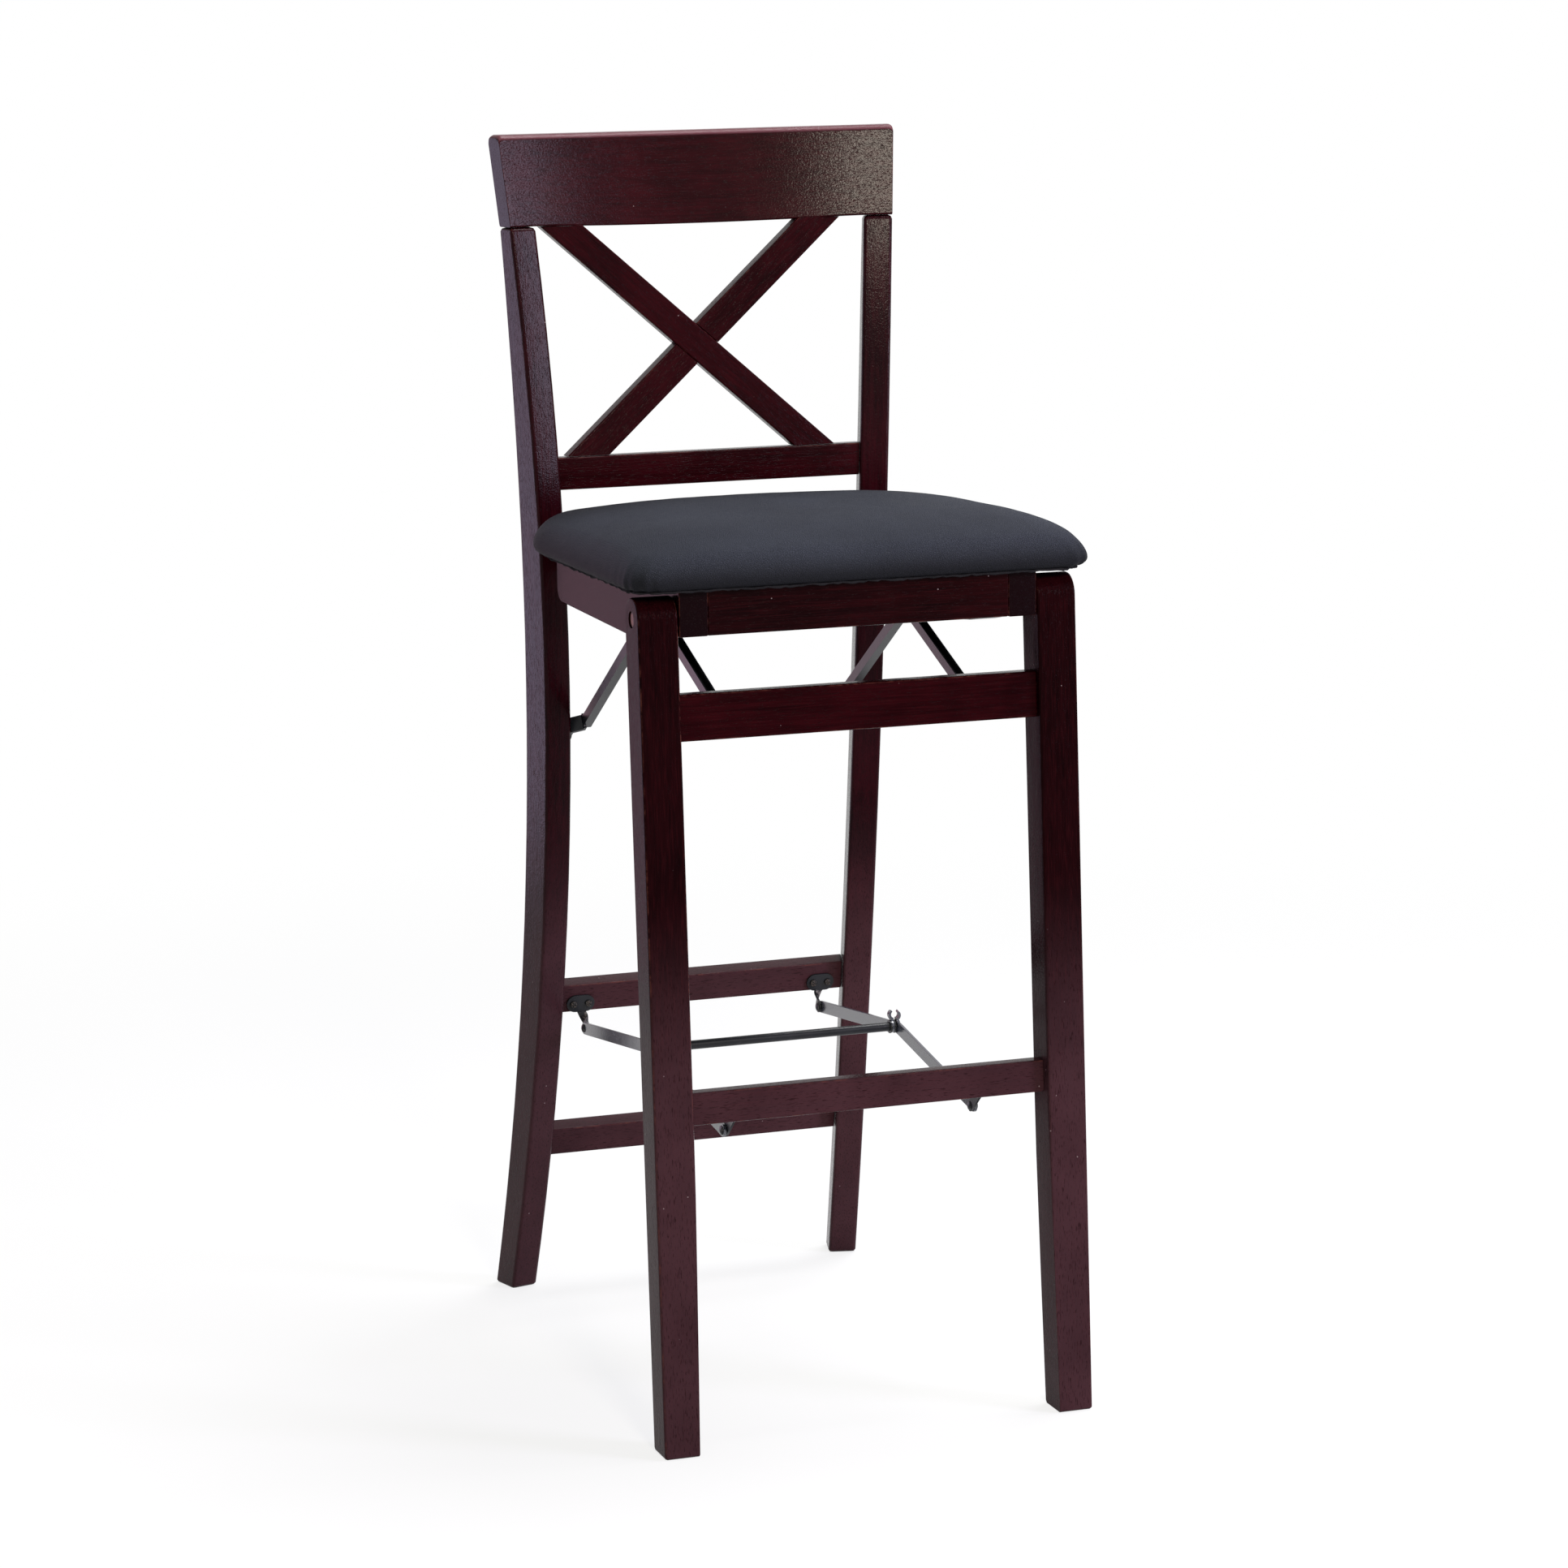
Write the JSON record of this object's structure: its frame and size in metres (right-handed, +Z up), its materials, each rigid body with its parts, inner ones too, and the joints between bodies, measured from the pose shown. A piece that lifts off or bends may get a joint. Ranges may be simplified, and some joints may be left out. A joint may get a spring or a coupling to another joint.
{
  "type": "folding bar stool",
  "caption": "Wooden folding bar stool: crossed back under a bowed crest rail, padded seat, curved splayed rear legs, pressed steel braces under the seat and a locking stay between low rails.",
  "frame": {"origin": "on the floor, under the middle of the stool's overall box", "axes": "+Z up, the front of the seat towards -Y, +X to the right of someone who looks at the front"},
  "size_m": [0.402, 0.567, 1.0644],
  "materials": {
    "lacquer": "dark cherry satin lacquer over an open grain, worn along the edges",
    "black_steel": "satin black coating",
    "dark_zinc": "dull dark zinc",
    "leatherette": "charcoal leatherette with a fine grain, soft sheen",
    "black_cloth": "thin matte black lining cloth",
    "bare_wood": "bare sawn wood",
    "red_plug": "stained wood plug"
  },
  "bodies": {
    "rear_frame": {"rear_post_left": "lacquer", "rear_post_right": "lacquer", "crest_rail": "lacquer", "back_bar_a": "lacquer", "back_bar_b": "lacquer", "back_lower_rail": "lacquer", "rear_stretcher_upper": "lacquer", "rear_stretcher_lower": "lacquer", "brace_rivet_left": "black_steel", "brace_rivet_right": "black_steel", "link_plate_left": "black_steel", "link_plate_right": "black_steel", "plate_screw_a_left": "black_steel", "plate_screw_a_right": "black_steel", "plate_screw_b_left": "black_steel", "plate_screw_b_right": "black_steel", "link_rivet_rear_left": "black_steel", "link_rivet_rear_right": "black_steel"},
    "rear_braces": {"rear_brace_left": "black_steel", "rear_brace_right": "black_steel"},
    "seat": {"seat_side_rail_left": "lacquer", "seat_side_rail_right": "lacquer", "seat_front_apron": "lacquer", "seat_rear_rail": "lacquer", "seat_cleat": "bare_wood", "seat_lining": "black_cloth", "seat_board": "bare_wood", "seat_cushion": "leatherette", "leg_bolt_left": "dark_zinc", "leg_bolt_right": "dark_zinc", "brace_pin_left": "black_steel", "brace_pin_right": "black_steel"},
    "front_frame": {"front_leg_left": "lacquer", "front_leg_right": "lacquer", "leg_plug_left": "red_plug", "leg_plug_right": "red_plug", "front_upper_rail": "lacquer", "foot_rail": "lacquer", "brace_bracket_left": "black_steel", "brace_bracket_right": "black_steel", "front_brace_pin_left": "black_steel", "front_brace_pin_right": "black_steel", "link_bracket_left": "black_steel", "link_bracket_right": "black_steel", "link_rivet_front_left": "black_steel", "link_rivet_front_right": "black_steel"},
    "front_braces": {"front_brace_left": "black_steel", "front_brace_right": "black_steel"},
    "rear_links": {"rear_link_left": "black_steel", "rear_link_right": "black_steel", "cross_rod": "black_steel", "knee_washer_inner_left": "black_steel", "knee_washer_inner_right": "black_steel", "knee_washer_outer_left": "black_steel", "knee_washer_outer_right": "black_steel"},
    "front_links": {"front_link_left": "black_steel", "front_link_right": "black_steel", "knee_rivet_left": "black_steel", "knee_rivet_right": "black_steel"}
  },
  "joints": [
    {"name": "rear_brace_fold", "type": "hinge", "parent": "rear_frame", "child": "rear_braces", "pos_m": [0, 0.15453, 0.537], "axis": [1, 0, 0], "range_deg": [-38, 0]},
    {"name": "seat_fold", "type": "hinge", "parent": "rear_braces", "child": "seat", "pos_m": [0, -0.09847, 0.695], "axis": [1, 0, 0], "range_deg": [0, 126.01]},
    {"name": "front_leg_fold", "type": "hinge", "parent": "seat", "child": "front_frame", "pos_m": [0, -0.23277, 0.6915], "axis": [1, 0, 0], "range_deg": [-81.05, 0]},
    {"name": "front_brace_fold", "type": "hinge", "parent": "front_frame", "child": "front_braces", "pos_m": [0, -0.20947, 0.6105], "axis": [1, 0, 0], "range_deg": [0, 67.6]},
    {"name": "rear_link_fold", "type": "hinge", "parent": "rear_frame", "child": "rear_links", "pos_m": [0, 0.18053, 0.2575], "axis": [1, 0, 0], "range_deg": [-69.65, 0]},
    {"name": "front_link_fold", "type": "hinge", "parent": "front_frame", "child": "front_links", "pos_m": [0, -0.21087, 0.2554], "axis": [1, 0, 0], "range_deg": [0, 72.78]}
  ],
  "couplings": [
    {"joint": "seat_fold", "follows": "rear_brace_fold", "ratio": -3.3158},
    {"joint": "front_leg_fold", "follows": "rear_brace_fold", "ratio": 2.1326},
    {"joint": "front_brace_fold", "follows": "rear_brace_fold", "ratio": -1.7785},
    {"joint": "rear_link_fold", "follows": "rear_brace_fold", "ratio": 1.8325},
    {"joint": "front_link_fold", "follows": "rear_brace_fold", "ratio": -1.9148}
  ]
}
